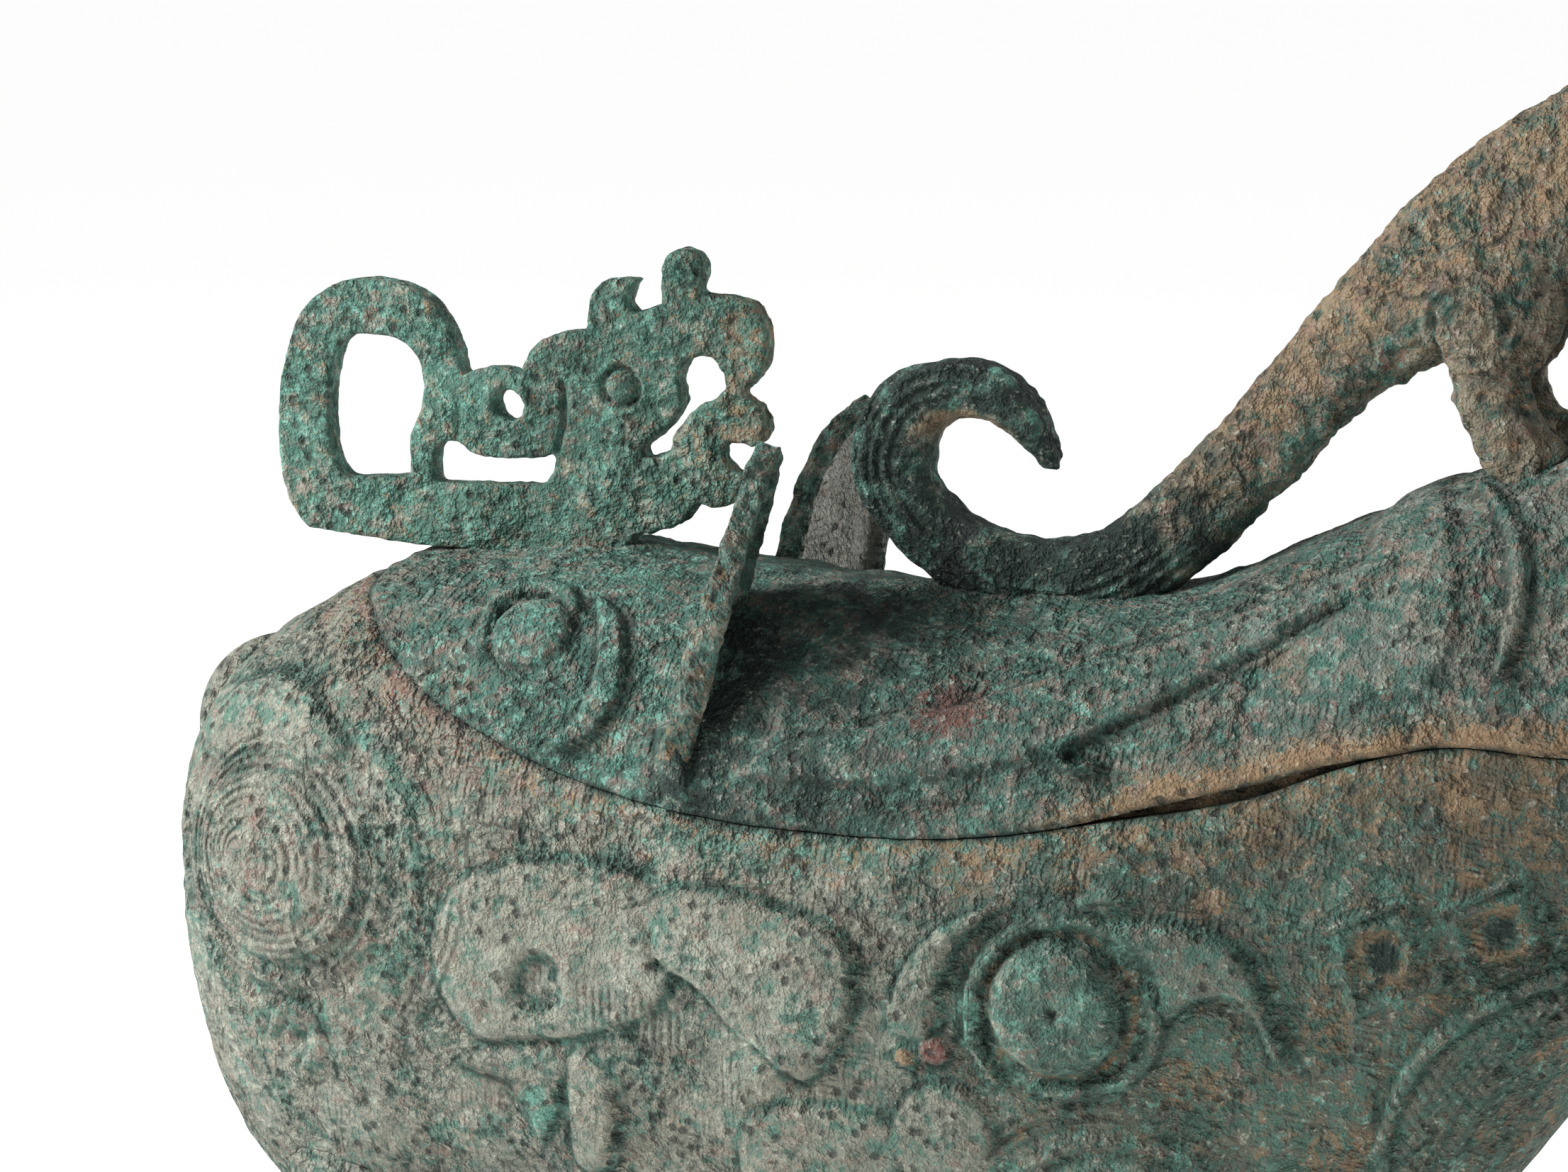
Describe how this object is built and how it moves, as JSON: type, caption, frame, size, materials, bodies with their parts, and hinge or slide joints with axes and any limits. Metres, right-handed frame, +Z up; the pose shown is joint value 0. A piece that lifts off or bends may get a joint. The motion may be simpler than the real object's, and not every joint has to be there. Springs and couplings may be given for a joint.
{
  "type": "lidded beast-shaped wine vessel",
  "caption": "Cast bronze wine vessel shaped as a standing composite beast, with a lift-off lid, an openwork dragon knob and a climbing beast.",
  "frame": {"origin": "on the ground under the middle of the object's box", "axes": "+X towards the beast's head, +Y to the beast's left, +Z up"},
  "size_m": [0.4394, 0.135, 0.372],
  "materials": {
    "body_bronze": "corroded, rough, grey-green patina with ochre soil",
    "lid_bronze": "corroded, rough, blue-green patina with ochre soil"
  },
  "bodies": {
    "root": {"vessel_body": "body_bronze", "lid": "lid_bronze"}
  },
  "joints": []
}
